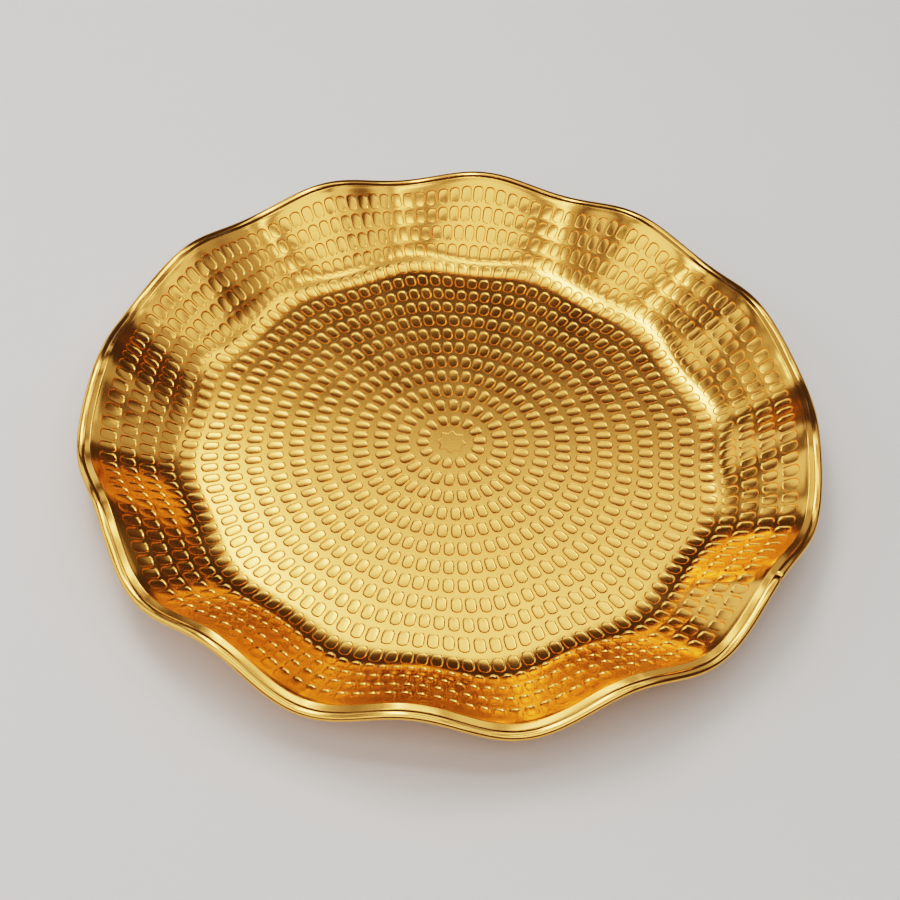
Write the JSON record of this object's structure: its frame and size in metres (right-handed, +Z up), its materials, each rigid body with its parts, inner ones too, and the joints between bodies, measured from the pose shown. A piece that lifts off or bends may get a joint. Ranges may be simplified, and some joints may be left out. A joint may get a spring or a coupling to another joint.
{
  "type": "serving tray",
  "caption": "Round shallow serving tray with a flat floor, a fluted sloping wall, an all-over pattern of small pressed-in marks and a wired edge.",
  "frame": {"origin": "on the table, under the middle of the tray's floor", "axes": "+Z up out of the open side of the dish, +X and +Y across the floor"},
  "size_m": [0.2962, 0.2962, 0.0291],
  "materials": {
    "pressed_brass": "pressed and polished gold-coloured brass sheet",
    "edge_brass": "polished brass strip",
    "wire_steel": "bright drawn steel wire, hidden in the edge"
  },
  "bodies": {
    "root": {"pan": "pressed_brass", "edge_strip": "edge_brass", "edge_wire": "wire_steel"}
  },
  "joints": []
}
